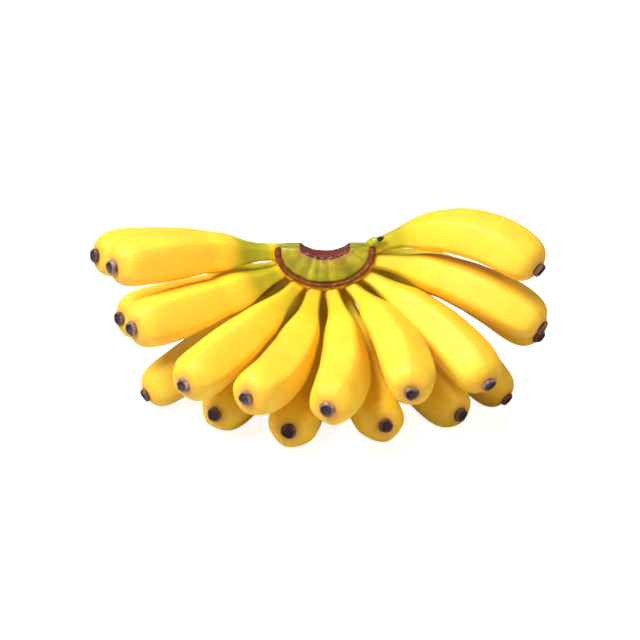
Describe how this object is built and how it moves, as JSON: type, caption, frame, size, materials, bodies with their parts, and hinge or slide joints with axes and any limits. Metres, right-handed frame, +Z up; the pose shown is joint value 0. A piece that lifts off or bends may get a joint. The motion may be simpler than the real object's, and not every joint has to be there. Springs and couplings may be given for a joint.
{
  "type": "baby banana hand",
  "caption": "Hand of short plump baby bananas in two rows on one crown, with a corky bract scar and dried blossom ends, standing on the back row.",
  "frame": {"origin": "centre of the bounding box at its bottom, on the surface the hand stands on", "axes": "+Z up, +X along the hand's width to the right end, -Y towards the front row and the tips"},
  "size_m": [0.2388, 0.1234, 0.1158],
  "materials": {
    "peel": "ripe yellow peel, waxy satin, greener at the neck",
    "crown_flesh": "green-yellow skin with brown stains, satin; dark red-brown where it was cut",
    "cork": "brown corky ridge, matt",
    "green_peel": "unripe green peel, satin",
    "dried_blossom": "dry purple-brown flower remnant, matt"
  },
  "bodies": {
    "root": {"finger_01": "peel", "finger_02": "peel", "finger_03": "peel", "finger_04": "peel", "finger_05": "peel", "finger_06": "peel", "finger_07": "peel", "finger_08": "peel", "finger_09": "peel", "finger_10": "peel", "finger_11": "peel", "finger_12": "peel", "finger_13": "peel", "finger_14": "peel", "finger_15": "peel", "finger_16": "peel", "finger_17": "peel", "finger_18": "peel", "blossom_tip_01": "dried_blossom", "blossom_tip_02": "dried_blossom", "blossom_tip_03": "dried_blossom", "blossom_tip_04": "dried_blossom", "blossom_tip_05": "dried_blossom", "blossom_tip_06": "dried_blossom", "blossom_tip_07": "dried_blossom", "blossom_tip_08": "dried_blossom", "blossom_tip_09": "dried_blossom", "blossom_tip_10": "dried_blossom", "blossom_tip_11": "dried_blossom", "blossom_tip_12": "dried_blossom", "blossom_tip_13": "dried_blossom", "blossom_tip_14": "dried_blossom", "blossom_tip_15": "dried_blossom", "blossom_tip_16": "dried_blossom", "blossom_tip_17": "dried_blossom", "blossom_tip_18": "dried_blossom", "crown": "crown_flesh", "bract_scar": "cork", "small_finger": "green_peel", "small_finger_tip": "dried_blossom"}
  },
  "joints": []
}
